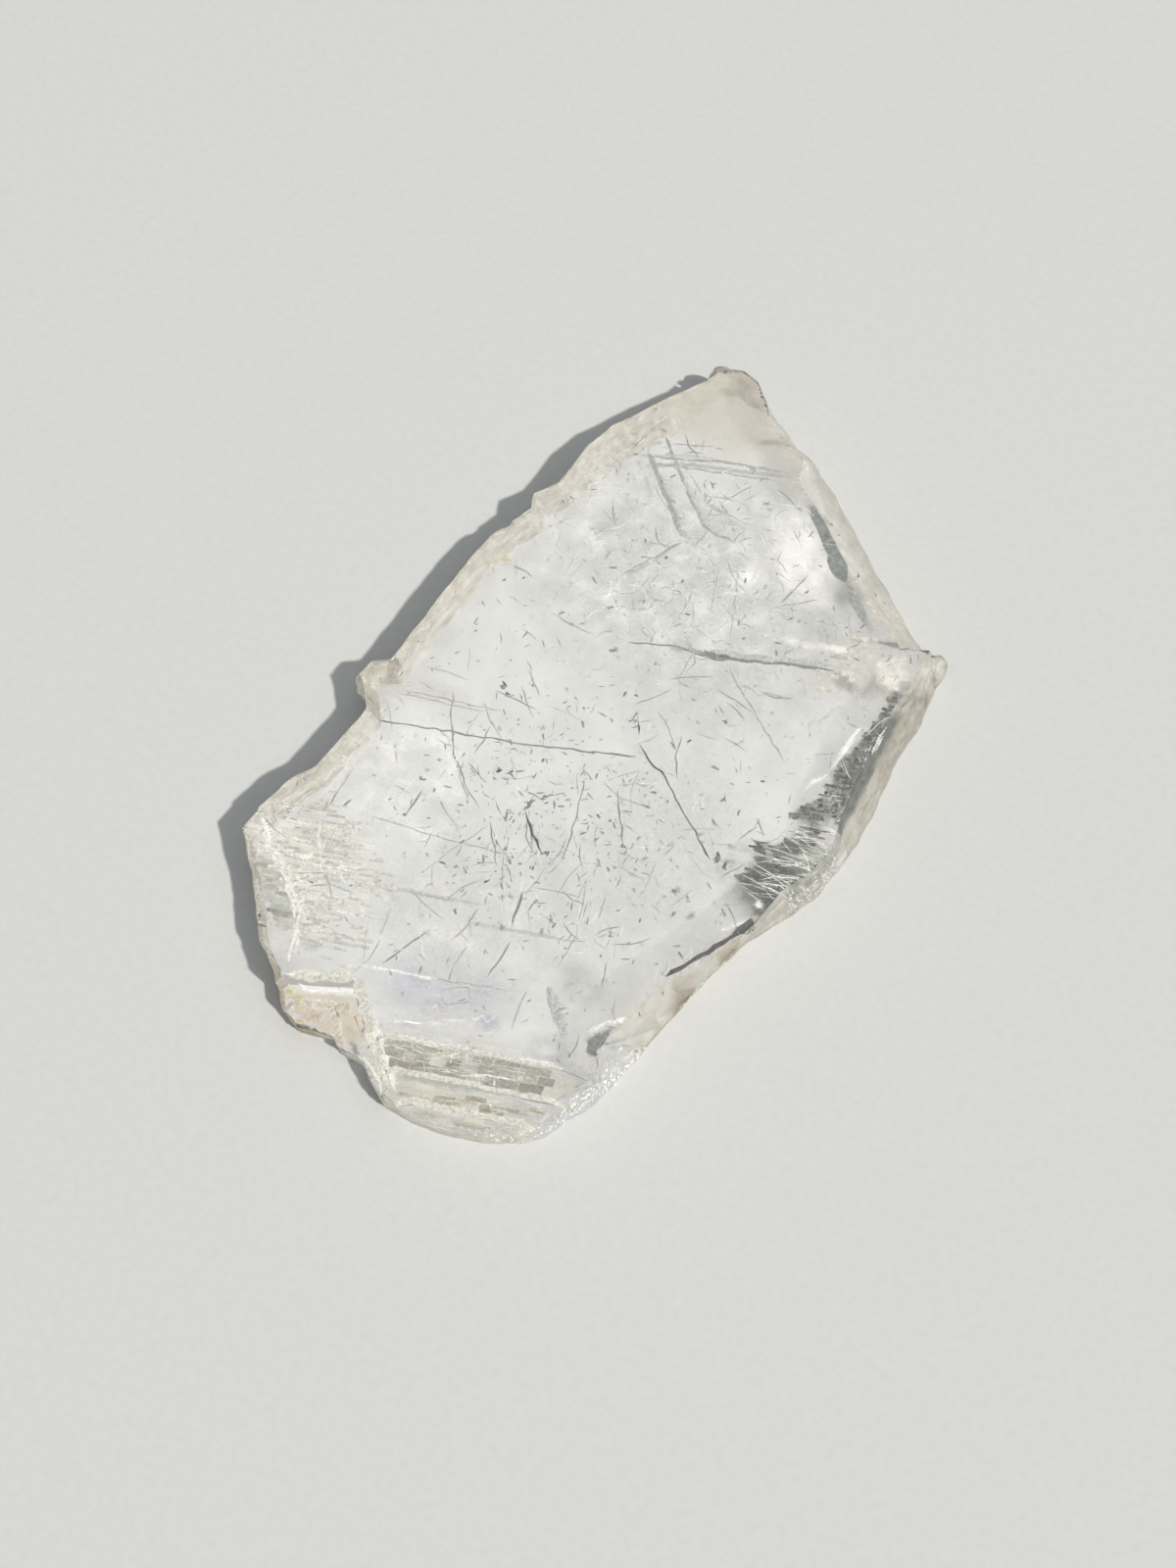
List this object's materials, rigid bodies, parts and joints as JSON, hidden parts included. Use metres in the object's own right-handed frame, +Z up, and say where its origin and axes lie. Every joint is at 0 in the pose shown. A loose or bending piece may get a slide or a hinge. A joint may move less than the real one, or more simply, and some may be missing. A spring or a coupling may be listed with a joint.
{
  "type": "selenite slab",
  "caption": "Clear selenite cleavage slab with a broken, stepped edge, resting flat on its underside.",
  "frame": {"origin": "middle of the underside, at the bottom centre of the slab's box", "axes": "+Z up through the thickness, +Y along the long side towards the pointed tip, +X across the slab"},
  "size_m": [0.0674, 0.1152, 0.008],
  "materials": {
    "clear_gypsum": "clear crystal with pearly cleavage faces, fine scratches and a frosted, stepped broken edge"
  },
  "bodies": {
    "root": {"slab": "clear_gypsum"}
  },
  "joints": []
}
